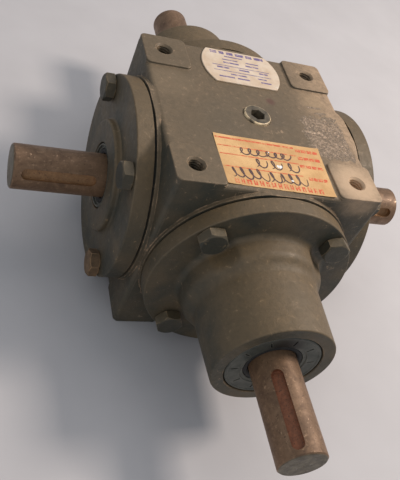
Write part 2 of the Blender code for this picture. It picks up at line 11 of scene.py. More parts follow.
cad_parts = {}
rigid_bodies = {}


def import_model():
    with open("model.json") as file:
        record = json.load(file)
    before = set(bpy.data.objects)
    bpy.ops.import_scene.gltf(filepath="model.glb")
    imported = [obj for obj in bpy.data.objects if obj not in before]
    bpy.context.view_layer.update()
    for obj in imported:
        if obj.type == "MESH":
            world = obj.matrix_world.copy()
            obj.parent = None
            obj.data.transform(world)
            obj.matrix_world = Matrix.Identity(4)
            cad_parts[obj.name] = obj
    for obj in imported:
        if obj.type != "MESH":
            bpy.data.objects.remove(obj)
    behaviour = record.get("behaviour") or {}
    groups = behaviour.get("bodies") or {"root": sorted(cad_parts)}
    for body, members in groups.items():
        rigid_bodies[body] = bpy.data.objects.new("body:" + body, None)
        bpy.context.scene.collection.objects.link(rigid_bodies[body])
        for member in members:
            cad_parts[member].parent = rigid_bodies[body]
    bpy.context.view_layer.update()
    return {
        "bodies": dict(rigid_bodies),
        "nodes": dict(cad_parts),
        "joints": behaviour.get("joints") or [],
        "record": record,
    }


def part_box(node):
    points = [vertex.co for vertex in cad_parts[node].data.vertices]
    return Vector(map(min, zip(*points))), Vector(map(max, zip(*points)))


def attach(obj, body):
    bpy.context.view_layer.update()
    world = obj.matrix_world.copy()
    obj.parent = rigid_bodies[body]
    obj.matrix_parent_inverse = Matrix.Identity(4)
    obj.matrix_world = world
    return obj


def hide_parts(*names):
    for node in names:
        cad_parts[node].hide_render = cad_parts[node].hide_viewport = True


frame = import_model()

MM = 0.001
GAP = 0.3 * MM  # what the solids leave between pieces that touch

# Sizes read from the solids
HOUSING_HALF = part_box("housing")[1].z
SIDE_BOSS_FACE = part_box("housing")[1].x
TOP_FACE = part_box("nameplate")[0].z - GAP
FLANGE_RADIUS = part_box("right_cap")[1].y
SPIGOT_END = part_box("right_cap")[0].x
CAP_BOSS_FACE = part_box("right_cap")[1].x
BARREL_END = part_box("rear_quill")[1].y
GASKET_FACES = (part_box("right_gasket")[0].x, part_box("right_gasket")[1].x)
GASKET_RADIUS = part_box("right_gasket")[1].y
SHAFT_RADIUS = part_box("rear_pinion_shaft")[1].z
CROSS_SHAFT_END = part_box("cross_shaft")[1].x
PINION_SHAFT_ENDS = (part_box("rear_pinion_shaft")[0].y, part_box("rear_pinion_shaft")[1].y)
CAP_SEAL_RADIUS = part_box("right_seal")[1].y
QUILL_SEAL_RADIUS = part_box("rear_seal")[1].z
BOLT_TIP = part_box("right_cap_bolt_1")[0].x
BOLT_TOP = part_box("right_cap_bolt_1")[1].x

# Sizes of the details
BORE_RADIUS = 43.5 * MM
CHAMBER_RADIUS = 51.0 * MM
HOUSING_EDGE = 2.5 * MM
CAST_ROUND = 2.6 * MM
PAD_EDGE = 33.0 * MM
PAD_CORNER = 3.0 * MM
SIDE_BOSS_RADIUS = 60.0 * MM
TAPPED_RADIUS = 4.0 * MM
TAPPED_DEPTH = 17.0 * MM
THREAD_PITCH = 1.5875 * MM
BOLT_HEAD_HEIGHT = 6.0 * MM
FLANGE_FACE = BOLT_TOP - BOLT_HEAD_HEIGHT - GAP
FLANGE_BACK = GASKET_FACES[1] + 0.2 * MM
CAP_BOSS_RADIUS = 32.4 * MM
SEAL_SETBACK = 0.4 * MM
SHOULDER_RADIUS = 40.2 * MM
SHOULDER_END = 84.0 * MM
BARREL_START = 88.7 * MM
BARREL_ROOT_RADIUS = 34.6 * MM
BARREL_END_RADIUS = 33.4 * MM
BOLT_CIRCLE = 50.8 * MM
BOLT_FLATS = 14.2875 * MM
BOLT_SHANK_RADIUS = 4.4 * MM
BOLT_RELIEF_RADIUS = 12.5 * MM
BEARING_BORE = 25.45 * MM
CAP_SEAT = 65.5 * MM
QUILL_SEATS = (65.5 * MM, 101.5 * MM, 116.3 * MM)
KEYWAY_WIDTH = 6.35 * MM
KEYWAY_DEPTH = 3.175 * MM
CROSS_KEYWAY = (81.0 * MM, 122.3 * MM)
PINION_KEYWAY = (134.3 * MM, 175.6 * MM)
GEAR_KEYWAY = (28.0 * MM, 47.0 * MM)
KEYWAY_ANGLE = {"right": 245, "front": 120, "rear": 60}  # degrees, in the side's own frame
# Degrees that each of a side's four heads is turned
BOLT_TURN = {
    "left": (25, 42, 59, 16),
    "right": (37, 54, 11, 28),
    "front": (20, 0, 54, 11),
    "rear": (31, 48, 5, 22),
}
PLUG_RADIUS = 8.2 * MM
PLUG_SOCKET_FLATS = 7.9375 * MM
PLUG_TURN = 12  # degrees

# Sides of the turned shapes
ROUND = 128
MID_ROUND = 96
SMALL_ROUND = 48
HOLE_ROUND = 24
QUILL_SIDES = 192

RUSTY_BOLTS = ("left_cap_bolt_3",)
# Marks on the housing's top: X, Y and radius in millimetres, how strong, and the colour
HOUSING_MARKS = (
    (13.4, 16.0, 4.2, 0.9, (96, 64, 50)),
    (46.0, -48.0, 20.0, 0.85, (206, 173, 139)),
    (-49.0, 20.0, 20.0, 0.35, (134, 114, 88)),
    (-18.0, -6.0, 24.0, 0.35, (92, 80, 62)),
    (8.0, 2.0, 15.0, 0.3, (84, 72, 58)),
    (44.0, 22.0, 12.0, 0.4, (170, 142, 108)),
)

SIDES = ("left", "right", "front", "rear")
# Each side's own frame has +Z pointing out of the housing.
OUTWARD = {
    "right": Matrix.Rotation(math.radians(90), 4, "Y"),
    "left": Matrix.Rotation(math.radians(-90), 4, "Y"),
    "front": Matrix.Rotation(math.radians(90), 4, "X"),
    "rear": Matrix.Rotation(math.radians(-90), 4, "X"),
    "top": Matrix.Identity(4),
    "bottom": Matrix.Rotation(math.radians(180), 4, "X"),
}


# Camera, floor and light

def look():
    data = bpy.data.cameras.new("camera")
    data.sensor_width = 36
    data.lens = 51.83
    data.clip_start = 0.01
    camera = bpy.data.objects.new("camera", data)
    camera.location = (-0.1766, -0.2855, 0.2710)
    camera.rotation_euler = Euler([math.radians(a) for a in (42.98, -20.0, -12.35)])
    bpy.context.scene.collection.objects.link(camera)
    bpy.context.scene.camera = camera


def area_light(name, place, size, power, colour):
    data = bpy.data.lights.new(name, "AREA")
    data.shape = "RECTANGLE"
    data.size, data.size_y = size
    data.energy = power
    data.color = colour
    lamp = bpy.data.objects.new(name, data)
    lamp.location = place
    lamp.rotation_euler = (-Vector(place)).to_track_quat("-Z", "Y").to_euler()
    bpy.context.scene.collection.objects.link(lamp)


def studio():
    scene = bpy.context.scene
    scene.view_settings.view_transform = "Standard"
    world = bpy.data.worlds.new("studio")
    world.use_nodes = True
    background = world.node_tree.nodes["Background"]
    background.inputs["Color"].default_value = (0.78, 0.86, 0.95, 1)
    background.inputs["Strength"].default_value = 0.50
    scene.world = world
    area_light("key", (0.80, 0.02, 0.82), (0.24, 0.24), 9.1, (1.0, 0.91, 0.83))
    area_light("overhead", (0.25, 0.35, 1.0), (0.7, 0.7), 2.0, (1.0, 0.93, 0.88))
    area_light("fill", (-0.8, -1.0, 0.7), (0.6, 0.6), 1.5, (0.85, 0.92, 1.0))

    bpy.ops.mesh.primitive_plane_add(size=6, location=(0, 0, -HOUSING_HALF))
    floor = bpy.context.object
    floor.name = "floor"
    paper = Finish("floor")
    paper.colour(paper.ramp(paper.noise(60 * MM, 3), (0.3, (195, 189, 188)), (0.7, (201, 195, 194))))
    paper.value("Roughness", 0.7)
    floor.data.materials.append(paper.material)


# Materials

def shader_colour(value):
    """What a colour socket takes, from (red, green, blue) as the eye sees it, 0 to 255, or one share."""
    if not isinstance(value, tuple):
        return value, value, value, 1
    shares = [part / 255 for part in value]
    return *(v / 12.92 if v <= 0.04045 else ((v + 0.055) / 1.055) ** 2.4 for v in shares), 1


class Finish:
    """A material built up from patterns that stay fixed to the object. Its colours run from 0 to 255."""

    def __init__(self, name):
        self.material = bpy.data.materials.new(name)
        self.material.use_nodes = True
        self.link = self.material.node_tree.links.new
        self.shader = self.material.node_tree.nodes["Principled BSDF"]
        self.place = self.add("ShaderNodeTexCoord").outputs["Object"]
        self.split = self.add("ShaderNodeSeparateXYZ")
        self.link(self.place, self.split.inputs[0])

    def add(self, kind, **settings):
        node = self.material.node_tree.nodes.new(kind)
        for name, value in settings.items():
            setattr(node, name, value)
        return node

    def feed(self, socket, value):
        if isinstance(value, bpy.types.NodeSocket):
            self.link(value, socket)
        elif socket.type == "RGBA":
            socket.default_value = shader_colour(value)
        else:
            socket.default_value = value

    def value(self, name, value):
        self.feed(self.shader.inputs[name], value)

    def colour(self, value):
        self.value("Base Color", value)

    def along(self, axis):
        """The place along one of the object's axes, in metres."""
        return self.split.outputs[axis]

    def noise(self, size, detail=3.0, roughness=0.55, stretch=(1, 1, 1), distortion=0.0):
        mapping = self.add("ShaderNodeMapping")
        self.link(self.place, mapping.inputs["Vector"])
        mapping.inputs["Scale"].default_value = stretch
        texture = self.add("ShaderNodeTexNoise")
        self.link(mapping.outputs["Vector"], texture.inputs["Vector"])
        texture.inputs["Scale"].default_value = 1 / size
        texture.inputs["Detail"].default_value = detail
        texture.inputs["Roughness"].default_value = roughness
        texture.inputs["Distortion"].default_value = distortion
        return texture.outputs["Fac"]

    def ramp(self, factor, *stops):
        """Blends through (position, colour or grey) stops."""
        node = self.add("ShaderNodeValToRGB")
        self.link(factor, node.inputs["Fac"])
        elements = node.color_ramp.elements
        while len(elements) < len(stops):
            elements.new(0.5)
        for element, (position, shade) in zip(elements, stops):
            element.position = position
            element.color = shader_colour(shade)
        return node.outputs["Color"]

    def math(self, operation, first, second=0.0):
        node = self.add("ShaderNodeMath", operation=operation)
        self.feed(node.inputs[0], first)
        self.feed(node.inputs[1], second)
        return node.outputs[0]

    def times(self, first, second):
        return self.math("MULTIPLY", first, second)

    def rise(self, source, start, end):
        """0 where the source is at start or before, 1 at end or past it."""
        node = self.add("ShaderNodeMapRange", interpolation_type="SMOOTHSTEP", clamp=True)
        self.feed(node.inputs["Value"], source)
        node.inputs["From Min"].default_value = start
        node.inputs["From Max"].default_value = end
        return node.outputs["Result"]

    def mix(self, factor, first, second):
        node = self.add("ShaderNodeMix", data_type="RGBA")
        factor_socket, first_socket, second_socket = (node.inputs[i] for i in (0, 6, 7))
        self.feed(factor_socket, factor)
        self.feed(first_socket, first)
        self.feed(second_socket, second)
        return node.outputs[2]

    def bump(self, *layers):
        """Relief from (height, depth in metres) layers."""
        normal = None
        for height, depth in layers:
            node = self.add("ShaderNodeBump")
            self.link(height, node.inputs["Height"])
            node.inputs["Distance"].default_value = depth
            if normal:
                self.link(normal, node.inputs["Normal"])
            normal = node.outputs["Normal"]
        self.value("Normal", normal)

    def upward(self):
        """1 on faces that look up, 0 on sides and undersides."""
        up = self.add("ShaderNodeSeparateXYZ")
        self.link(self.add("ShaderNodeTexCoord").outputs["Normal"], up.inputs[0])
        return self.rise(up.outputs["Z"], 0.0, 0.8)

    def spot(self, centre, radius, ragged=0.5):
        """1 at a place on the object, 0 past a ragged radius round it."""
        apart = self.add("ShaderNodeVectorMath", operation="DISTANCE")
        self.link(self.place, apart.inputs[0])
        apart.inputs[1].default_value = centre
        rough = self.times(self.noise(radius / 2, 5, 0.65), ragged * radius)
        reach = self.math("ADD", apart.outputs["Value"], rough)
        return self.rise(reach, radius * (1 + ragged / 2), radius * 0.55)

    def edges(self, radius):
        """1 near the piece's edges, 0 on its faces."""
        bevel = self.add("ShaderNodeBevel", samples=6)
        bevel.inputs["Radius"].default_value = radius
        dot = self.add("ShaderNodeVectorMath", operation="DOT_PRODUCT")
        self.link(bevel.outputs["Normal"], dot.inputs[0])
        self.link(self.add("ShaderNodeNewGeometry").outputs["Normal"], dot.inputs[1])
        return self.rise(dot.outputs["Value"], 0.998, 0.94)

    def from_axis(self, axis):
        """How far a point is from one of the object's axes, in metres."""
        across = self.add("ShaderNodeVectorMath", operation="MULTIPLY")
        self.link(self.place, across.inputs[0])
        across.inputs[1].default_value = [0 if name == axis else 1 for name in "XYZ"]
        length = self.add("ShaderNodeVectorMath", operation="LENGTH")
        self.link(across.outputs[0], length.inputs[0])
        return length.outputs["Value"]


def cast_paint(name, dark, mid, top_dust_and_light, worn, handled=False):
    """Old paint on cast iron: dark pits, a dusting on what faces up that also stands in for painted top light,
    chips, and edges rubbed bare.

    Where the piece is handled, its top is also rubbed towards the right, and has the housing's marks."""
    paint = Finish(name)
    patches = paint.noise(22 * MM, 5, 0.6)
    grain = paint.noise(1.1 * MM, 4, 0.65)
    specks = paint.noise(3.5 * MM, 6, 0.7, distortion=0.6)
    base = paint.ramp(patches, (0.35, dark), (0.65, mid))
    # What faces up takes a dusting colour, which also stands in for painted top light.
    top_dust_and_light_mask = paint.times(paint.upward(), paint.ramp(specks, (0.28, 0.55), (0.6, 1.0)))
    base = paint.mix(top_dust_and_light_mask, base, paint.mix(patches, top_dust_and_light, mid))
    pits = paint.rise(grain, 0.36, 0.27)
    base = paint.mix(pits, base, dark)
    flecks = paint.times(paint.rise(specks, 0.60, 0.72), 0.65)
    base = paint.mix(flecks, base, worn)
    if handled:
        reach = paint.math("ADD", paint.along("X"), paint.times(patches, 18 * MM))
        side = paint.times(paint.rise(reach, 30 * MM, 72 * MM), paint.upward())
        smears = paint.times(side, paint.ramp(specks, (0.30, 0.30), (0.62, 0.9)))
        base = paint.mix(smears, base, worn)
        for x, y, radius, share, shade in HOUSING_MARKS:
            mark = paint.times(paint.spot((x * MM, y * MM, TOP_FACE), radius * MM), share)
            base = paint.mix(mark, base, shade)
    chipped = paint.rise(paint.noise(7 * MM, 5, 0.7), 0.42, 0.62)
    rubbed = paint.times(paint.edges(0.7 * MM), chipped)
    paint.colour(paint.mix(rubbed, base, worn))
    paint.value("Roughness", paint.ramp(specks, (0.3, 0.68), (0.7, 0.5)))
    paint.value("Metallic", paint.times(rubbed, 0.5))
    paint.bump((patches, 0.5 * MM), (specks, 0.25 * MM), (grain, 0.10 * MM))
    return paint


def scaled_finish():
    """Thick old paint gone to scale: dark in its pits, lighter on its ridges, as rubbed paint and as a painted
    highlight.
    """
    paint = Finish("scaled_paint")
    scale = paint.noise(1.7 * MM, 6, 0.7, distortion=0.7)
    fine = paint.noise(0.8 * MM, 3)
    base = paint.ramp(scale, (0.34, (94, 80, 64)), (0.5, (146, 123, 100)), (0.66, (206, 174, 146)))
    # The highest ridges are lightened as rubbed paint and as a painted highlight, where they would catch the
    # light.
    high = paint.rise(paint.along("Z"), TOP_FACE + 0.22 * MM, TOP_FACE + 0.42 * MM)
    base = paint.mix(paint.times(high, paint.rise(fine, 0.3, 0.6)), base, (220, 188, 158))
    low = paint.rise(paint.along("Z"), TOP_FACE + 0.08 * MM, TOP_FACE)
    paint.colour(paint.mix(low, base, (126, 108, 86)))
    paint.value("Roughness", paint.ramp(scale, (0.3, 0.6), (0.7, 0.34)))
    paint.bump((scale, 0.9 * MM), (fine, 0.25 * MM))
    return paint


def shaft_finish(name, axis, end, keyway_colours):
    """Turned bar, browned by handling and by rusting, rubbed bright in streaks, its keyways coloured deeper
    with rusting, and on the cross shaft also lightened as painted light on keyway floors in the light.
    """
    dark, mid, bright = (84, 61, 45), (120, 91, 66), (142, 110, 83)
    steel = Finish(name)
    stretch = [6 if letter != axis else 1 for letter in "XYZ"]
    streaks = steel.noise(26 * MM, 5, 0.65, stretch=stretch)
    blotches = steel.noise(9 * MM, 6, 0.65, distortion=0.8)
    grain = steel.noise(0.9 * MM, 3)
    rings = steel.noise(0.5 * MM, 2, stretch=[1 if letter == axis else 0.03 for letter in "XYZ"])
    base = steel.ramp(blotches, (0.22, dark), (0.5, mid), (0.8, bright))
    polished = steel.rise(streaks, 0.55, 0.68)
    base = steel.mix(steel.times(polished, 0.5), base, bright)
    glints = steel.rise(steel.noise(1.5 * MM, 4, 0.6), 0.60, 0.68)
    base = steel.mix(steel.times(glints, 0.6), base, (186, 150, 116))
    radius = steel.from_axis(axis)
    sunk = steel.rise(radius, SHAFT_RADIUS - 0.5 * MM, SHAFT_RADIUS - 0.9 * MM)
    # Keyway floors take the given colours: the colour of rusting, and on the cross shaft that colour lightened
    # as painted light.
    keyway_colour = steel.ramp(steel.noise(2.2 * MM, 5, 0.7), (0.3, keyway_colours[0]), (0.7, keyway_colours[1]))
    base = steel.mix(steel.times(sunk, 0.9), base, keyway_colour)
    reach = steel.math("ABSOLUTE", steel.along(axis))
    face = steel.rise(reach, end - 0.6 * MM, end - 0.1 * MM)
    base = steel.mix(face, base, steel.ramp(streaks, (0.35, (80, 72, 58)), (0.65, (114, 104, 86))))
    steel.colour(steel.mix(steel.rise(grain, 0.40, 0.30), base, dark))
    steel.value("Metallic", 0.3)
    rough = steel.ramp(blotches, (0.3, 0.62), (0.7, 0.43))
    steel.value("Roughness", steel.mix(glints, rough, 0.22))
    steel.bump((blotches, 0.12 * MM), (rings, 0.02 * MM), (grain, 0.05 * MM))
    return steel


def plain_steel(name, dark, bright, size, roughness, metallic, worn=None, rim=None, grease=None):
    """Machined steel with stains of a size.

    Where worn is given, its edges are rubbed to that colour, or only its rim if its radius is given too.
    Where grease is given, it is black round that place."""
    steel = Finish(name)
    stains = steel.noise(size, 5, 0.6)
    grain = steel.noise(0.6 * MM, 3)
    base = steel.ramp(stains, (0.32, dark), (0.68, bright))
    if worn:
        if rim:
            where = steel.rise(steel.from_axis("Z"), rim - 0.95 * MM, rim - 0.5 * MM)
        else:
            where = steel.edges(0.8 * MM)
        rubbed = steel.times(where, steel.rise(steel.noise(4 * MM, 4), 0.30, 0.55))
        base = steel.mix(rubbed, base, worn)
    if grease:
        base = steel.mix(steel.spot(grease, 13 * MM), base, (30, 29, 25))
    steel.colour(base)
    steel.value("Metallic", metallic)
    steel.value("Roughness", steel.ramp(stains, (0.3, roughness[0]), (0.7, roughness[1])))
    steel.bump((stains, 0.06 * MM), (grain, 0.03 * MM))
    return steel


def rubber(name, dark, bright):
    made = Finish(name)
    made.colour(made.ramp(made.noise(4 * MM, 4), (0.35, dark), (0.65, bright)))
    made.value("Roughness", 0.75)
    made.bump((made.noise(0.5 * MM, 3), 0.04 * MM))
    return made


def printed(name, paper, ink, wear_size, wear_share):
    """Ink that has worn or soaked away in spots, down to what it is printed on."""
    made = Finish(name)
    worn = made.rise(made.noise(wear_size, 5, 0.7), wear_share - 0.08, wear_share + 0.08)
    made.colour(made.mix(worn, ink, paper))
    made.value("Roughness", 0.6)
    return made


def plate_metal():
    """Soft aluminium, dulled and scuffed, brown where dirt has gathered."""
    made = Finish("nameplate_metal")
    clouds = made.noise(9 * MM, 5, 0.6)
    scuffs = made.noise(7 * MM, 5, 0.7, stretch=(1, 5, 1), distortion=0.5)
    base = made.ramp(clouds, (0.3, (212, 182, 150)), (0.65, (236, 214, 190)))
    made.colour(made.mix(made.rise(scuffs, 0.60, 0.72), base, (246, 236, 220)))
    made.value("Metallic", 0.25)
    made.value("Roughness", made.ramp(scuffs, (0.3, 0.55), (0.7, 0.35)))
    made.bump((clouds, 0.10 * MM), (scuffs, 0.03 * MM))
    return made


def label_stock():
    """Manila paper, stained in patches and creased."""
    made = Finish("label_stock")
    stain = made.noise(16 * MM, 5, 0.6)
    fibre = made.noise(0.7 * MM, 4, 0.7)
    base = made.ramp(stain, (0.32, (204, 156, 100)), (0.66, (234, 188, 130)))
    made.colour(made.mix(made.rise(fibre, 0.42, 0.30), base, (182, 132, 82)))
    made.value("Roughness", 0.7)
    made.bump((made.noise(3 * MM, 5), 0.08 * MM), (fibre, 0.02 * MM))
    return made


# Shapes

def arc(centre, radius, start, end, steps):
    """Points on an arc, angles in degrees."""
    angles = [math.radians(start + (end - start) * i / steps) for i in range(steps + 1)]
    return [(centre[0] + radius * math.cos(a), centre[1] + radius * math.sin(a)) for a in angles]


def circle(radius, sides, centre=(0, 0)):
    return arc(centre, radius, 0, 360, sides)[:-1]


def rounded_box(left, low, right, high, radius, steps=6):
    outline = []
    for x, y, start in (
        (right - radius, high - radius, 0),
        (left + radius, high - radius, 90),
        (left + radius, low + radius, 180),
        (right - radius, low + radius, 270),
    ):
        outline += arc((x, y), radius, start, start + 90, steps)
    return outline


def flattened_circle(radius, half_height, steps=48):
    reach = math.degrees(math.asin(half_height / radius))
    return arc((0, 0), radius, -reach, reach, steps) + arc((0, 0), radius, 180 - reach, 180 + reach, steps)


def rounded(corners, steps=5):
    """A loop of (radius, station, rounding) corners, each turned into an arc of its rounding."""
    loop = []
    for i, (radius, station, rounding) in enumerate(corners):
        corner = Vector((radius, station))
        if not rounding:
            loop.append(tuple(corner))
            continue
        before = (Vector(corners[i - 1][:2]) - corner).normalized()
        after = (Vector(corners[(i + 1) % len(corners)][:2]) - corner).normalized()
        half = before.angle(after) / 2
        reach = rounding / math.tan(half)
        centre = corner + (before + after).normalized() * rounding / math.sin(half)
        start = corner + before * reach - centre
        end = corner + after * reach - centre
        for step in range(steps + 1):
            loop.append(tuple(centre + start.lerp(end, step / steps).normalized() * rounding))
    return loop


def mesh_of(name, bm, frame=None):
    bmesh.ops.recalc_face_normals(bm, faces=bm.faces)
    mesh = bpy.data.meshes.new(name)
    bm.to_mesh(mesh)
    bm.free()
    if frame:
        mesh.transform(frame)
    return mesh


def turned(name, profile, frame=None, sides=ROUND):
    """The solid that a closed loop of (radius, station) points sweeps about Z."""
    bm = bmesh.new()
    rings = []
    for radius, station in profile:
        count = sides if radius > 1e-7 else 1
        angles = [2 * math.pi * i / count for i in range(count)]
        rings.append([bm.verts.new((radius * math.cos(a), radius * math.sin(a), station)) for a in angles])
    for upper, lower in zip(rings, rings[1:] + rings[:1]):
        if len(upper) == len(lower) == 1:
            continue
        for i in range(sides):
            steps = ((upper, 0), (lower, 0), (lower, 1), (upper, 1))
            corners = [ring[(i + step) % len(ring)] for ring, step in steps]
            bm.faces.new(list(dict.fromkeys(corners)))  # on the axis two corners are one
    return mesh_of(name, bm, frame)


def stacked(name, layers, frame=None):
    """The solid through (outline, station) layers that all have the same number of points."""
    bm = bmesh.new()
    loops = [[bm.verts.new((x, y, station)) for x, y in outline] for outline, station in layers]
    bm.faces.new(reversed(loops[0]))
    bm.faces.new(loops[-1])
    for lower, upper in zip(loops, loops[1:]):
        for i in range(len(lower)):
            bm.faces.new((lower[i - 1], lower[i], upper[i], upper[i - 1]))
    return mesh_of(name, bm, frame)


def together(name, meshes):
    """Meshes that don't touch, as one."""
    bm = bmesh.new()
    for mesh in meshes:
        bm.from_mesh(mesh)
        bpy.data.meshes.remove(mesh)
    return mesh_of(name, bm)


def combined(mesh, *steps):
    """The mesh after its Boolean steps, each an operation and another mesh."""
    target = bpy.data.objects.new("target", mesh)
    bpy.context.scene.collection.objects.link(target)
    others = []
    for operation, other in steps:
        tool = bpy.data.objects.new("tool", other)
        bpy.context.scene.collection.objects.link(tool)
        modifier = target.modifiers.new("step", "BOOLEAN")
        modifier.operation = operation
        modifier.solver = "EXACT"
        modifier.object = tool
        others.append(tool)
    bpy.context.view_layer.update()
    graph = bpy.context.evaluated_depsgraph_get()
    result = bpy.data.meshes.new_from_object(target.evaluated_get(graph))
    for old in [target, *others]:
        bpy.data.objects.remove(old)
    return result


def piece(name, mesh, finish, node, body="housing", sharp=32):
    """A finished piece that stands for a CAD node, or for none, on a body."""
    made = bpy.data.objects.new(name, mesh)
    bpy.context.scene.collection.objects.link(made)
    mesh.materials.clear()
    mesh.materials.append(finish.material)
    mesh.shade_smooth()
    mesh.set_sharp_from_angle(angle=math.radians(sharp))
    weighting = made.modifiers.new("weighted_normals", "WEIGHTED_NORMAL")
    weighting.keep_sharp = True
    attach(made, body)
    if node:
        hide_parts(node)


def round_in(radius, start, steps=4):
    """(across, along) points of a quarter round where a face runs into a rise."""
    turns = [math.pi / 2 * i / steps for i in range(steps + 1)]
    return [(radius * (1 - math.sin(turn)), start + radius * (1 - math.cos(turn))) for turn in turns]


def round_over(radius, top, steps=4):
    """(inset, station) points of a rounded rim that ends at its top."""
    turns = [math.pi / 2 * i / steps for i in range(steps + 1)]
    return [(radius * (1 - math.cos(turn)), top - radius + radius * math.sin(turn)) for turn in turns]


def bolt_centres():
    return arc((0, 0), BOLT_CIRCLE, 45, 315, 3)


def drilled(radius, low, high, sides, centres=((0, 0),), frame=None):
    """Plain upright prisms, mostly to cut holes with."""
    holes = []
    for centre in centres:
        outline = circle(radius, sides, centre)
        holes.append(stacked("hole", [(outline, low), (outline, high)], frame))
    return together("drill", holes)


def tapped(centre, top, depth):
    """A cutter for a tapped hole: a helical groove, a chamfered mouth and a drill point."""
    sides = 28
    groove = 0.45 * MM
    mouth = 0.8 * MM
    above = 3 * MM
    point = 0.6 * TAPPED_RADIUS
    rows_per_turn = 6
    rows = int(depth / THREAD_PITCH * rows_per_turn)
    bm = bmesh.new()
    loops = []
    for row in range(rows + 1):
        below = depth * (1 - row / rows)
        loop = []
        for i in range(sides):
            turn = (below / THREAD_PITCH + i / sides) % 1
            radius = TAPPED_RADIUS + groove * (1 - abs(2 * turn - 1))
            radius = max(radius, TAPPED_RADIUS + groove + mouth - below)
            angle = 2 * math.pi * i / sides
            x, y = centre[0] + radius * math.cos(angle), centre[1] + radius * math.sin(angle)
            loop.append(bm.verts.new((x, y, top - below)))
        loops.append(loop)
    loops.append([bm.verts.new((v.co.x, v.co.y, top + above)) for v in loops[-1]])
    tip = bm.verts.new((*centre, top - depth - point))
    for lower, upper in zip(loops, loops[1:]):
        for i in range(sides):
            bm.faces.new((lower[i - 1], lower[i], upper[i], upper[i - 1]))
    for i in range(sides):
        bm.faces.new((loops[0][i], loops[0][i - 1], tip))
    bm.faces.new(loops[-1])
    return mesh_of("tapped", bm)


# The housing

def pad_mesh(quarter, side):
    """A corner pad: a low square with a cast fillet along its two inner edges and a rounded rim."""
    edge = HOUSING_HALF - 0.05 * MM
    fillet = 0.5 * MM
    rim = 0.6 * MM
    root = TOP_FACE - CAST_ROUND - MM
    layers = [(fillet + 0.05 * MM, 0, root)]
    layers += [(across, 0, along) for across, along in round_in(fillet, TOP_FACE)]
    layers += [(-inward, inward, along) for inward, along in round_over(rim, HOUSING_HALF)]
    outlines = []
    for out, inward, station in layers:
        low = PAD_EDGE - out
        outlines.append((rounded_box(low, low, edge - inward, edge - inward, PAD_CORNER), station))
    return stacked("pad", outlines, OUTWARD[side] @ Matrix.Rotation(math.pi / 2 * quarter, 4, "Z"))


def boss_mesh(frame):
    """The round rim that a flange seats on, flat above and below, with a fillet where it leaves the side."""
    fillet = 0.2 * MM
    rim = 0.2 * MM
    root = HOUSING_HALF - 4 * MM
    layers = [(fillet, root)]
    layers += round_in(fillet, HOUSING_HALF - 0.02 * MM)
    layers += [(-inset, station) for inset, station in round_over(rim, SIDE_BOSS_FACE)]
    radius = SIDE_BOSS_RADIUS - 0.6 * MM
    flat = TOP_FACE - 0.25 * MM
    outlines = [(flattened_circle(radius + out, flat + min(out, 0)), station) for out, station in layers]
    return stacked("boss", outlines, frame)


def housing():
    upper = round_over(CAST_ROUND, TOP_FACE, 5)
    outlines = []
    for inset, station in [(inset, -station) for inset, station in reversed(upper)] + upper:
        half = HOUSING_HALF - inset
        outlines.append((rounded_box(-half, -half, half, half, HOUSING_EDGE, 8), station))
    block = stacked("housing", outlines)
    pads = [pad_mesh(quarter, side) for side in ("top", "bottom") for quarter in range(4)]
    turn = Matrix.Rotation(math.radians(90), 4, "Z")
    cross = [boss_mesh(OUTWARD[side] @ turn) for side in ("right", "left")]
    along = [boss_mesh(OUTWARD[side]) for side in ("front", "rear")]
    far = 2 * HOUSING_HALF
    bores = [drilled(BORE_RADIUS, -far, far, ROUND, frame=OUTWARD[side]) for side in ("right", "front")]
    bm = bmesh.new()
    bmesh.ops.create_uvsphere(bm, u_segments=64, v_segments=32, radius=CHAMBER_RADIUS)
    chamber = mesh_of("chamber", bm)
    bolt_holes = [
        drilled(BOLT_SHANK_RADIUS + GAP, BOLT_TIP - MM, far, HOLE_ROUND, bolt_centres(), OUTWARD[side])
        for side in SIDES
    ]
    threads = []
    for opening in frame["record"]["physics"]["openings"]:
        low, high = (Vector(corner) for corner in opening["box_m"])
        middle = (low + high) / 2
        if "hole" not in opening["name"]:
            continue
        upright = 1 if middle.z > 0 else -1
        mesh = tapped((middle.x, middle.y * upright), HOUSING_HALF, TAPPED_DEPTH)
        mesh.transform(OUTWARD["top" if upright > 0 else "bottom"])
        threads.append(mesh)
    ports = [
        drilled(PLUG_RADIUS + 0.25 * MM, 0.8 * CHAMBER_RADIUS, far, SMALL_ROUND, frame=OUTWARD[side])
        for side in ("top", "bottom")
    ]
    added = [together("added", meshes) for meshes in (pads, cross, along)]
    cut = [*bores, chamber, *(together("cut", meshes) for meshes in (bolt_holes, threads, ports))]
    return combined(block, *(("UNION", mesh) for mesh in added), *(("DIFFERENCE", mesh) for mesh in cut))


# Covers

def flange_corners():
    """The outer corners of a flange and its spigot."""
    spigot = BORE_RADIUS - GAP
    return [
        (FLANGE_RADIUS, FLANGE_FACE, 0.8 * MM),
        (FLANGE_RADIUS, FLANGE_BACK, 0.25 * MM),
        (spigot, FLANGE_BACK, 0),
        (spigot, SPIGOT_END, 0.6 * MM),
    ]


def flange_holes(side):
    return drilled(BOLT_SHANK_RADIUS + 2 * GAP, SPIGOT_END, BARREL_END, 32, bolt_centres(), OUTWARD[side])


def cap_mesh(side):
    """A flange with a low boss round its seal."""
    mouth = CAP_SEAL_RADIUS - 3 * MM
    pocket = CAP_SEAL_RADIUS + 0.15 * MM
    pocket_floor = CAP_SEAT + 3 * MM
    corners = [
        (CAP_BOSS_RADIUS, CAP_BOSS_FACE, 1.5 * MM),
        (CAP_BOSS_RADIUS + 0.4 * MM, FLANGE_FACE, 1.4 * MM),
        *flange_corners(),
        (BEARING_BORE, SPIGOT_END, 0.4 * MM),
        (BEARING_BORE, CAP_SEAT, 0),
        (mouth, CAP_SEAT, 0),
        (mouth, pocket_floor, 0),
        (pocket, pocket_floor, 0),
        (pocket, CAP_BOSS_FACE, 0.5 * MM),
    ]
    return combined(turned("cap", rounded(corners), OUTWARD[side]), ("DIFFERENCE", flange_holes(side)))


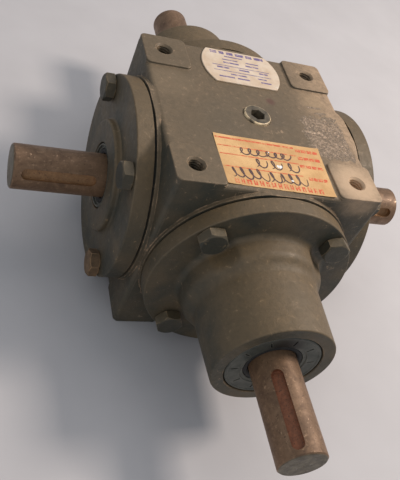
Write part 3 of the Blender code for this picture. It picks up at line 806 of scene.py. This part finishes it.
def quill_radius(base, station, angle):
    """The quill's outer radius at an angle, drawn in beside each bolt head with a soft blend."""
    foot = 3.2 * MM  # radius of the fillet where the relief meets the flange
    blend = 5.0 * MM
    below = min(1.0, max(0.0, 1 - (station - FLANGE_FACE) / foot))
    relief = BOLT_RELIEF_RADIUS - foot * (1 - math.sqrt(1 - below**2))
    away = math.radians((math.degrees(angle) - 45) % 90)
    away = min(away, math.pi / 2 - away)
    aside = BOLT_CIRCLE * math.sin(away)
    if aside >= relief:
        return base
    cut = BOLT_CIRCLE * math.cos(away) - math.sqrt(relief**2 - aside**2)
    share = max(0.0, min(1.0, 0.5 + 0.5 * (base - cut) / blend))
    return base + (cut - base) * share - blend * share * (1 - share)


def quill_mesh(side):
    """A bell-shaped housing for two bearings: its skin is lofted, its flange and bore are turned."""
    inner_seat, outer_seat, outer_seat_end = QUILL_SEATS
    land = BEARING_BORE - 4.3 * MM
    mouth = CAP_SEAL_RADIUS - 2 * MM
    pocket = QUILL_SEAL_RADIUS + 0.15 * MM
    pocket_floor = outer_seat_end + 2 * MM
    arc_steps = 9
    skin = [
        (SHOULDER_RADIUS + 8 * MM, FLANGE_FACE, 0),
        (SHOULDER_RADIUS, FLANGE_FACE, 3.6 * MM),
        (SHOULDER_RADIUS - 1.4 * MM, SHOULDER_END, 7.0 * MM),
        (BARREL_ROOT_RADIUS, BARREL_START, 8.0 * MM),
        (BARREL_END_RADIUS, BARREL_END, 0.9 * MM),
        (0, BARREL_END, 0),
    ]
    skin = rounded(skin, arc_steps)[1:-1]
    barrel = 3 * (arc_steps + 1)  # the skin's first three arcs lead to the barrel's long straight
    straight = [Vector(skin[barrel - 1]).lerp(Vector(skin[barrel]), share) for share in (0.25, 0.5, 0.75)]
    inside = (skin[0][0], FLANGE_BACK + MM)
    angles = [2 * math.pi * i / QUILL_SIDES for i in range(QUILL_SIDES)]
    layers = []
    for radius, station in [inside, *skin[:barrel], *straight, *skin[barrel:]]:
        outline = []
        for angle in angles:
            reach = quill_radius(radius, station, angle)
            outline.append((reach * math.cos(angle), reach * math.sin(angle)))
        layers.append((outline, station))
    flange = [(0, FLANGE_FACE, 0), *flange_corners(), (0, SPIGOT_END, 0)]
    bore = [
        (0, SPIGOT_END - MM, 0),
        (BEARING_BORE + 1.4 * MM, SPIGOT_END - MM, 0),
        (BEARING_BORE, SPIGOT_END + 0.4 * MM, 0),
        (BEARING_BORE, inner_seat, 0),
        (land, inner_seat, 0),
        (land, outer_seat, 0),
        (BEARING_BORE, outer_seat, 0),
        (BEARING_BORE, outer_seat_end, 0),
        (mouth, outer_seat_end, 0),
        (mouth, pocket_floor, 0),
        (pocket, pocket_floor, 0),
        (pocket, BARREL_END - 0.4 * MM, 0),
        (pocket + 0.9 * MM, BARREL_END + 0.5 * MM, 0),
        (0, BARREL_END + 0.5 * MM, 0),
    ]
    solid = combined(
        turned("flange", rounded(flange)),
        ("UNION", stacked("skin", layers)),
        ("DIFFERENCE", turned("bore", rounded(bore))),
    )
    solid.transform(OUTWARD[side])
    return combined(solid, ("DIFFERENCE", flange_holes(side)))


def gasket_mesh(side):
    """A cut sheet ring, its outer edge a little uneven."""
    low, high = GASKET_FACES
    inner = BORE_RADIUS + 0.5 * MM
    bolt_hole = BOLT_SHANK_RADIUS + GAP
    outline = []
    for x, y in circle(1, ROUND):
        ragged = 0.35 * MM * noise.noise(Vector((3 * x, 3 * y, len(side))))
        radius = GASKET_RADIUS - 0.3 * MM + ragged
        outline.append((radius * x, radius * y))
    ring = combined(
        stacked("gasket", [(outline, low), (outline, high)]),
        ("DIFFERENCE", drilled(inner, low - MM, high + MM, ROUND)),
        ("DIFFERENCE", drilled(bolt_hole, low - MM, high + MM, HOLE_ROUND, bolt_centres())),
    )
    ring.transform(OUTWARD[side])
    return ring


def bolt_mesh():
    """A hexagon head with a chamfered top and a washer face, on a shank with a rounded tip."""
    seat = FLANGE_FACE + 0.02 * MM
    corner = BOLT_FLATS / math.sqrt(3)
    across = BOLT_FLATS / 2
    crown = [
        (0, BOLT_TOP, 0),
        (across * 0.93, BOLT_TOP, 0.5 * MM),
        (corner + 0.3 * MM, BOLT_TOP - 1.25 * MM, 0),
        (corner + 0.3 * MM, seat + 0.9 * MM, 0),
        (across * 0.97, seat + 0.4 * MM, 0),
        (across * 0.95, seat, 0),
        (0, seat, 0),
    ]
    shank = [
        (0, seat + MM, 0),
        (BOLT_SHANK_RADIUS, seat + MM, 0),
        (BOLT_SHANK_RADIUS, BOLT_TIP, 1.0 * MM),
        (0, BOLT_TIP, 0),
    ]
    return combined(
        drilled(corner, seat - MM, BOLT_TOP + MM, 6),
        ("INTERSECT", turned("crown", rounded(crown), sides=MID_ROUND)),
        ("UNION", turned("shank", rounded(shank), sides=32)),
    )


def seal_case_mesh(side, radius, face, depth, slit_count):
    """A pressed steel case with a rolled outer edge, an inner step and, where counted, short radial slits."""
    mouth = SHAFT_RADIUS + 3.2 * MM
    corners = [
        (radius - 0.35 * MM, face, 0.7 * MM),
        (radius - 0.35 * MM, face - depth, 0.4 * MM),
        (mouth, face - depth, 0),
        (mouth, face - 0.9 * MM, 0.3 * MM),
        (mouth + 1.6 * MM, face - 0.9 * MM, 0.4 * MM),
        (mouth + 2.2 * MM, face - 0.3 * MM, 0.3 * MM),
        (radius - 2.2 * MM, face - 0.3 * MM, 0.3 * MM),
        (radius - 1.6 * MM, face, 0.3 * MM),
    ]
    case = turned("case", rounded(corners), sides=MID_ROUND)
    if slit_count:
        outline = rounded_box(18.6 * MM, -0.42 * MM, 22.7 * MM, 0.42 * MM, 0.35 * MM, 3)
        slits = []
        for i in range(slit_count):
            turn = Matrix.Rotation(2 * math.pi * (i + 0.25) / slit_count, 4, "Z")
            slits.append(stacked("slit", [(outline, face - 1.3 * MM), (outline, face + MM)], turn))
        case = combined(case, ("DIFFERENCE", together("slits", slits)))
    case.transform(OUTWARD[side])
    return case


def seal_lip_mesh(side, face):
    """The rubber lip inside the case, with a dust lip that all but touches the shaft."""
    outer = SHAFT_RADIUS + 3.0 * MM
    corners = [
        (outer, face - 1.0 * MM, 0.3 * MM),
        (outer, face - 4.5 * MM, 0.3 * MM),
        (SHAFT_RADIUS + 0.25 * MM, face - 4.8 * MM, 0.1 * MM),
        (SHAFT_RADIUS + 1.3 * MM, face - 2.6 * MM, 0.3 * MM),
        (SHAFT_RADIUS + 0.35 * MM, face - 1.5 * MM, 0.15 * MM),
        (SHAFT_RADIUS + 1.4 * MM, face - 1.0 * MM, 0.3 * MM),
    ]
    return turned("lip", rounded(corners, 3), OUTWARD[side], MID_ROUND)


# Shafts and plugs

def along_keyway(side):
    """A frame whose X runs out along the side's shaft and whose Z points out of its keyway."""
    turn = Matrix.Rotation(math.radians(KEYWAY_ANGLE[side] + 180), 4, "Z")
    return OUTWARD[side] @ turn @ Matrix.Rotation(math.radians(-90), 4, "Y")


def shaft_mesh(side, start, end, keyways):
    chamfer = 0.9 * MM
    corners = [
        (0, end, 0),
        (SHAFT_RADIUS - chamfer, end, 0.2 * MM),
        (SHAFT_RADIUS, end - chamfer, 0.2 * MM),
        (SHAFT_RADIUS, start + chamfer, 0.2 * MM),
        (SHAFT_RADIUS - chamfer, start, 0.2 * MM),
        (0, start, 0),
    ]
    half = KEYWAY_WIDTH / 2
    floor = SHAFT_RADIUS - KEYWAY_DEPTH
    cuts = []
    for near, far in keyways:
        layers = []
        for inset, station in ((0.25 * MM, floor), (0, floor + 0.25 * MM), (0, SHAFT_RADIUS * 1.3)):
            near_end = arc((near + half, 0), half - inset, 90, 270, 16)
            far_end = arc((far - half, 0), half - inset, -90, 90, 16)
            layers.append((near_end + far_end, station))
        cuts.append(stacked("keyway", layers, along_keyway(side)))
    bar = turned("shaft", rounded(corners, 3), OUTWARD[side], MID_ROUND)
    return combined(bar, ("DIFFERENCE", together("keyways", cuts)))


def plug_mesh(side, node):
    """A plug with a rounded rim and a hexagon socket."""
    low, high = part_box(node)
    top, bottom = (high.z, low.z) if side == "top" else (-low.z, -high.z)
    corners = [
        (0, top, 0),
        (PLUG_RADIUS, top, 0.9 * MM),
        (PLUG_RADIUS - 0.3 * MM, bottom, 0.5 * MM),
        (0, bottom, 0),
    ]
    corner = PLUG_SOCKET_FLATS / math.sqrt(3)
    depth = 7 * MM
    mouth = 0.25 * MM
    narrow, wide = circle(corner, 6), circle(corner + mouth, 6)
    layers = [(narrow, top - depth), (narrow, top - mouth), (wide, top + 0.01 * MM), (wide, top + MM)]
    socket = stacked("socket", layers, Matrix.Rotation(math.radians(PLUG_TURN), 4, "Z"))
    solid = combined(turned("plug", rounded(corners), sides=64), ("DIFFERENCE", socket))
    solid.transform(OUTWARD[side])
    return solid


# Nameplate and label

def grid(across, deep, place):
    """Columns of the points that place(u, v) gives, u and v each running from 0 to 1."""
    return [[place(i / across, j / deep) for j in range(deep + 1)] for i in range(across + 1)]


def slab(name, columns, thickness):
    """A thin closed sheet under columns of points."""
    bm = bmesh.new()
    upper = [[bm.verts.new(point) for point in column] for column in columns]
    lower = [[bm.verts.new((x, y, z - thickness)) for x, y, z in column] for column in columns]
    across, deep = len(columns) - 1, len(columns[0]) - 1
    for i in range(across):
        for j in range(deep):
            bm.faces.new((upper[i][j], upper[i + 1][j], upper[i + 1][j + 1], upper[i][j + 1]))
            bm.faces.new((lower[i][j], lower[i][j + 1], lower[i + 1][j + 1], lower[i + 1][j]))
    edge = [(i, 0) for i in range(across)] + [(across, j) for j in range(deep)]
    edge += [(i, deep) for i in range(across, 0, -1)] + [(0, j) for j in range(deep, 0, -1)]
    for (i, j), (k, m) in zip(edge, edge[1:] + edge[:1]):
        bm.faces.new((upper[i][j], lower[i][j], lower[k][m], upper[k][m]))
    return mesh_of(name, bm)


def label_corners():
    """The label's corners in order round it, from the front left one."""
    low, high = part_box("paper_label")
    middle = (low + high) / 2
    vertices = frame["nodes"]["paper_label"].data.vertices
    points = {(round(vertex.co.x, 6), round(vertex.co.y, 6)) for vertex in vertices}
    return sorted(points, key=lambda point: math.atan2(point[1] - middle.y, point[0] - middle.x))


class Label:
    """A paper label that lies a little unevenly, its corners lifting."""

    thickness = 0.12 * MM
    ink_thickness = 0.04 * MM
    print_lift = 0.05 * MM
    pen_lift = 0.08 * MM
    length_to_depth = 1.67

    def __init__(self):
        self.corners = label_corners()

    def point(self, u, v, lift=0.0):
        """A point of its upper face: u runs 0 to 1 from left to right, v from front to rear."""
        (ax, ay), (bx, by), (cx, cy), (dx, dy) = self.corners
        x = (1 - v) * ((1 - u) * ax + u * bx) + v * ((1 - u) * dx + u * cx)
        y = (1 - v) * ((1 - u) * ay + u * by) + v * ((1 - u) * dy + u * cy)
        curl = (abs(2 * u - 1) * abs(2 * v - 1)) ** 9
        wrinkle = noise.noise(Vector((9 * u, 5 * v, 3.0))) + 0.4 * noise.noise(Vector((31 * u, 17 * v, 8.0)))
        if v < 0.02:  # the front edge is nibbled
            y += 0.5 * MM * max(0.0, noise.noise(Vector((23 * u, 1.0, 6.0))) - 0.1)
        return x, y, TOP_FACE + (0.26 + 0.09 * wrinkle + 0.45 * curl) * MM + lift

    def sheet(self):
        return slab("label_sheet", grid(96, 58, self.point), self.thickness)

    def block(self, u, v, width, depth):
        """A printed block, its middle at (u, v), its size as shares of the label."""
        def place(across, deep):
            return self.point(u + width * (across - 0.5), v + depth * (deep - 0.5), self.print_lift)

        columns = grid(max(1, round(width * 60)), max(1, round(depth * 36)), place)
        return slab("block", columns, self.ink_thickness)

    def stroke(self, path, width):
        """A pen stroke along a path of (u, v) points, narrower where it starts and ends."""
        columns = []
        for i, (u, v) in enumerate(path):
            ahead = Vector(path[min(i + 1, len(path) - 1)]) - Vector(path[max(i - 1, 0)])
            side = Vector((-ahead.y * 0.6, ahead.x * self.length_to_depth)).normalized()
            half = width * (0.35 + 0.65 * math.sin(math.pi * (i + 0.5) / len(path)) ** 0.5) / 2
            du, dv = side.x * half, side.y * half * self.length_to_depth
            columns.append([self.point(u + k * du, v + k * dv, self.pen_lift) for k in (-1, 1)])
        return slab("stroke", columns, self.ink_thickness)


def label_print(label):
    """Red form printing: a heading of solid blocks, rules, and a field bar beside each rule."""
    blocks = []
    widths = (0.042, 0.030, 0.046, 0.036)
    heading = 0.078
    u = 0.07
    for i in range(15):
        width = widths[i % len(widths)]
        blocks.append(label.block(u + width * 0.2, heading, width * 0.32, 0.095))
        blocks.append(label.block(u + width * 0.5, heading + 0.025 * (i % 3 - 1), width * 0.3, 0.030))
        blocks.append(label.block(u + width * 0.8, heading, width * 0.32, 0.095))
        u += width + 0.017
    for v, depth in ((0.345, 0.018), (0.595, 0.018), (0.765, 0.018), (0.93, 0.034)):
        blocks.append(label.block(0.375, v, 0.73, depth))
    for v, width in ((0.31, 0.19), (0.555, 0.235), (0.725, 0.225), (0.885, 0.225)):
        for part in range(4):
            blocks.append(label.block(0.975 - width * (part + 0.5) / 4, v, width / 4 - 0.009, 0.060))
    return together("label_print", blocks)


def label_pen(label):
    """Three rows of pen coils, drawn in runs with no meaning."""
    strokes = []
    steps_per_loop = 18
    loop_pitch = 0.075
    loop_width = 0.026
    # Each row's v and height, and the start and number of loops of each of its runs
    rows = (
        (0.245, 0.095, ((0.06, 4), (0.40, 1), (0.50, 3))),
        (0.490, 0.080, ((0.31, 1), (0.45, 1), (0.61, 1))),
        (0.700, 0.058, ((0.19, 3), (0.43, 2), (0.57, 1))),
    )
    for row, (v, height, runs) in enumerate(rows):
        for start, loops in runs:
            path = []
            for i in range(loops * steps_per_loop + 7):
                turn = 2 * math.pi * i / steps_per_loop
                size = 1 + 0.3 * noise.noise(Vector((0.5 * turn, 9 * start, 4.0 * row)))
                u = start + loop_pitch * turn / (2 * math.pi) + loop_width * size * math.sin(turn + 0.5)
                path.append((u, v - height * size * math.cos(turn + 0.3 * row)))
            strokes.append(label.stroke(path, 0.014))
    return together("label_pen", strokes)


def torn_spots(label):
    """Three places where the label's face has come away, down to bare paper."""
    lift = 0.16 * MM

    def spot(u, v, width, depth):
        def place(along, deep):
            across = math.cos(math.pi * along)
            ragged = noise.noise(Vector((3 * across + 9 * u, 8 * deep, 9 * v)))
            half = math.sqrt(1.02 - across**2) * (0.75 + 0.5 * ragged)
            return label.point(u - width * across / 2, v + depth * half * (deep - 0.5), lift)

        return slab("spot", grid(12, 4, place), 0.05 * MM)

    places = ((0.535, 0.475, 0.052, 0.085), (0.615, 0.215, 0.026, 0.045), (0.475, 0.745, 0.012, 0.030))
    return together("torn_spots", [spot(*place) for place in places])


def nameplate_mesh(low, high):
    """A thin plate with straight long edges, round ends and a rolled rim."""
    middle = (low + high) / 2
    radius = (high.x - low.x) / 2
    half = (high.y - low.y) / 2
    top = high.z
    layers = [(0.0, low.z - 0.2 * MM), (0.0, top - 0.25 * MM), (0.12 * MM, top - 0.07 * MM), (0.3 * MM, top)]
    layers += [(1.1 * MM, top), (1.4 * MM, top - 0.12 * MM)]
    outlines = [(flattened_circle(radius - inset, half - inset, 32), station) for inset, station in layers]
    return stacked("nameplate", outlines, Matrix.Translation((middle.x, middle.y, 0)))


def nameplate_print(low, high):
    """Faded printing in generic bars: a heading along the rear edge and rows of short lines."""
    middle = (low + high) / 2
    top = high.z - 0.09 * MM
    # Each row's Y and depth, and the X and width of each of its bars, in millimetres from the middle
    rows = (
        (13.2, 2.6, ((15.2, 6.4), (8.4, 4.2), (2.0, 5.6), (-4.6, 4.4), (-10.2, 3.2), (-15.6, 4.2))),
        (9.9, 1.0, ((-3.0, 12.0),)),
        (6.6, 0.9, ((9.0, 8.6), (-6.0, 10.4))),
        (3.6, 1.3, ((8.2, 8.8), (-5.9, 10.4))),
        (0.2, 0.6, ((0.0, 38.0),)),
        (-1.9, 1.4, ((14.6, 5.8), (1.6, 6.8), (-12.4, 8.0))),
        (-5.0, 0.6, ((0.0, 38.0),)),
        (-7.6, 1.2, ((12.2, 6.0), (-3.4, 10.6))),
        (-10.8, 1.2, ((14.0, 7.0), (-1.0, 8.0), (-12.0, 10.0))),
    )
    bars = []
    for y, depth, runs in rows:
        for x, width in runs:
            def place(u, v):
                return middle.x + (x + (u - 0.5) * width) * MM, middle.y + (y + (v - 0.5) * depth) * MM, top

            bars.append(slab("bar", grid(1, 1, place), 0.06 * MM))
    return together("nameplate_print", bars)


def scaled_paint_mesh():
    """A crust of thick, broken paint on the right of the top face, with low ridges, thin at its edge."""
    low, high = Vector((26, -32)) * MM, Vector((57.6, 19)) * MM
    # Each ridge's Y and its two ends in X, in millimetres, and its strength
    ridges = (
        (-7.5, 26.0, 43.0, 1.3),
        (-10.5, 27.0, 37.0, 0.8),
        (16.5, 37.0, 50.0, 0.9),
        (12.0, 41.0, 52.0, 0.7),
    )

    def point(u, v):
        x, y = low.x + (high.x - low.x) * u, low.y + (high.y - low.y) * v
        place = Vector((x, y, 0)) / MM
        wander = 0.16 * noise.noise(place / 6) + 0.06 * noise.noise(place / 1.8)
        border = min(u * 1.5 + 0.28 * (1 - v), v * 3.5, (1 - v) * 1.4, (1 - u) * 6) + wander - 0.2
        lumps = 0.5 + 0.75 * noise.noise(place / 1.5) + 0.35 * noise.noise(place / 0.7)
        height = 0.28 * max(0.0, min(1.0, border * 4)) * max(0.0, min(1.2, lumps))
        for middle, start, end, strength in ridges:
            off = place.y - middle - 0.05 * (place.x - start) - 0.9 * noise.noise(place / 5)
            reach = max(0.0, min(1.0, (place.x - start) / 3, (end - place.x) / 4))
            height += 0.24 * strength * reach * math.exp(-((off / 0.75) ** 2))
        return x, y, TOP_FACE + min(0.5, height) * MM - 0.05 * MM

    return slab("scaled_paint", grid(84, 136, point), 0.8 * MM)


def main():
    look()
    studio()
    # Each paint's third colour is the dusting on what faces up, lightened to stand in for painted top light as
    # well.
    paint = cast_paint("housing_paint", (58, 57, 47), (90, 77, 58), (128, 105, 77), (186, 154, 122), True)
    cap_paint = cast_paint("cap_paint", (56, 55, 45), (90, 76, 55), (122, 97, 64), (164, 135, 100))
    bolt_paint = cast_paint("bolt_paint", (50, 50, 42), (68, 62, 48), (120, 100, 72), (150, 126, 94))
    # The cross shaft's keyway colours: rusting, lightened as painted light for keyway floors that stand in the
    # light.
    cross_keyway_rust_and_light = ((138, 100, 66), (170, 126, 84))
    cross_steel = shaft_finish("cross_shaft_steel", "X", CROSS_SHAFT_END, cross_keyway_rust_and_light)
    pinion_rust = ((112, 68, 46), (160, 98, 66))
    pinion_steel = shaft_finish("pinion_shaft_steel", "Y", PINION_SHAFT_ENDS[1], pinion_rust)
    plug_steel = plain_steel(
        "plug_steel", (66, 58, 46), (122, 108, 88), 5 * MM, (0.55, 0.3), 0.2, (246, 216, 172), PLUG_RADIUS
    )
    grease = (0, -BARREL_END, SHAFT_RADIUS + 4 * MM)
    seal_steel = plain_steel(
        "seal_steel", (58, 61, 55), (84, 85, 77), 6 * MM, (0.6, 0.45), 0.3, (112, 108, 96), grease=grease
    )
    rusty_steel = plain_steel(
        "rusty_bolt", (84, 66, 47), (128, 98, 68), 5 * MM, (0.8, 0.6), 0.1, (160, 126, 90)
    )
    gear_steel = plain_steel("gear_steel", (120, 112, 100), (178, 172, 162), 8 * MM, (0.4, 0.22), 0.95)
    bearing_steel = plain_steel("bearing_steel", (160, 160, 162), (212, 212, 214), 8 * MM, (0.3, 0.15), 1.0)
    gasket_rubber = rubber("gasket", (22, 20, 18), (44, 38, 32))
    lip_rubber = rubber("lip_rubber", (20, 20, 20), (40, 38, 36))

    piece("housing_casting", housing(), paint, "housing")
    bolt = bolt_mesh()
    for side in SIDES:
        if side in ("left", "right"):
            holder = side + "_cap"
            shape = cap_mesh(side)
            face = CAP_BOSS_FACE - SEAL_SETBACK
            case = seal_case_mesh(side, CAP_SEAL_RADIUS, face, 6.0 * MM, 0)
        else:
            holder = side + "_quill"
            shape = quill_mesh(side)
            face = BARREL_END - SEAL_SETBACK
            case = seal_case_mesh(side, QUILL_SEAL_RADIUS, face, 6.5 * MM, 10)
        piece(holder + "_casting", shape, cap_paint, holder)
        piece(side + "_gasket_sheet", gasket_mesh(side), gasket_rubber, side + "_gasket")
        for number, (centre, angle) in enumerate(zip(bolt_centres(), BOLT_TURN[side]), start=1):
            turn = Matrix.Rotation(math.radians(angle), 4, "Z")
            mesh = bolt.copy()
            mesh.transform(OUTWARD[side] @ Matrix.Translation((*centre, 0)) @ turn)
            node = f"{holder}_bolt_{number}"
            finish = rusty_steel if node in RUSTY_BOLTS else bolt_paint
            piece(f"{holder}_hex_bolt_{number}", mesh, finish, node, sharp=25)
        piece(side + "_seal_case", case, seal_steel, side + "_seal")
        piece(side + "_seal_lip", seal_lip_mesh(side, face), lip_rubber, None)

    near, far = CROSS_KEYWAY
    mesh = shaft_mesh("right", -CROSS_SHAFT_END, CROSS_SHAFT_END, (GEAR_KEYWAY, (near, far), (-far, -near)))
    piece("cross_shaft_bar", mesh, cross_steel, "cross_shaft", "cross_shaft")
    for side in ("front", "rear"):
        body = side + "_pinion_shaft"
        mesh = shaft_mesh(side, *PINION_SHAFT_ENDS, (GEAR_KEYWAY, PINION_KEYWAY))
        piece(side + "_pinion_bar", mesh, pinion_steel, body, body)
    piece("fill_plug_body", plug_mesh("top", "fill_plug"), plug_steel, "fill_plug")
    piece("drain_plug_body", plug_mesh("bottom", "drain_plug"), plug_steel, "drain_plug")

    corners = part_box("nameplate")
    violet = printed("faded_violet", (196, 172, 168), (112, 96, 138), 2.4 * MM, 0.56)
    red = printed("faded_red", (226, 168, 112), (216, 92, 54), 1.3 * MM, 0.55)
    pen = printed("pen_ink", (150, 112, 88), (84, 60, 58), 1.4 * MM, 0.62)
    bare = printed("bare_paper", (255, 252, 248), (226, 220, 214), 1.2 * MM, 0.45)
    piece("nameplate_plate", nameplate_mesh(*corners), plate_metal(), "nameplate")
    piece("nameplate_printing", nameplate_print(*corners), violet, None)
    label = Label()
    piece("label_sheet", label.sheet(), label_stock(), "paper_label", sharp=60)
    piece("label_printing", label_print(label), red, None)
    piece("label_pen_marks", label_pen(label), pen, None)
    piece("label_torn_spots", torn_spots(label), bare, None)
    piece("scaled_paint", scaled_paint_mesh(), scaled_finish(), None, sharp=80)

    for name, node in frame["nodes"].items():
        if not node.hide_render:
            finish = bearing_steel if "bearing" in name else gear_steel
            node.data.materials.clear()
            node.data.materials.append(finish.material)


main()
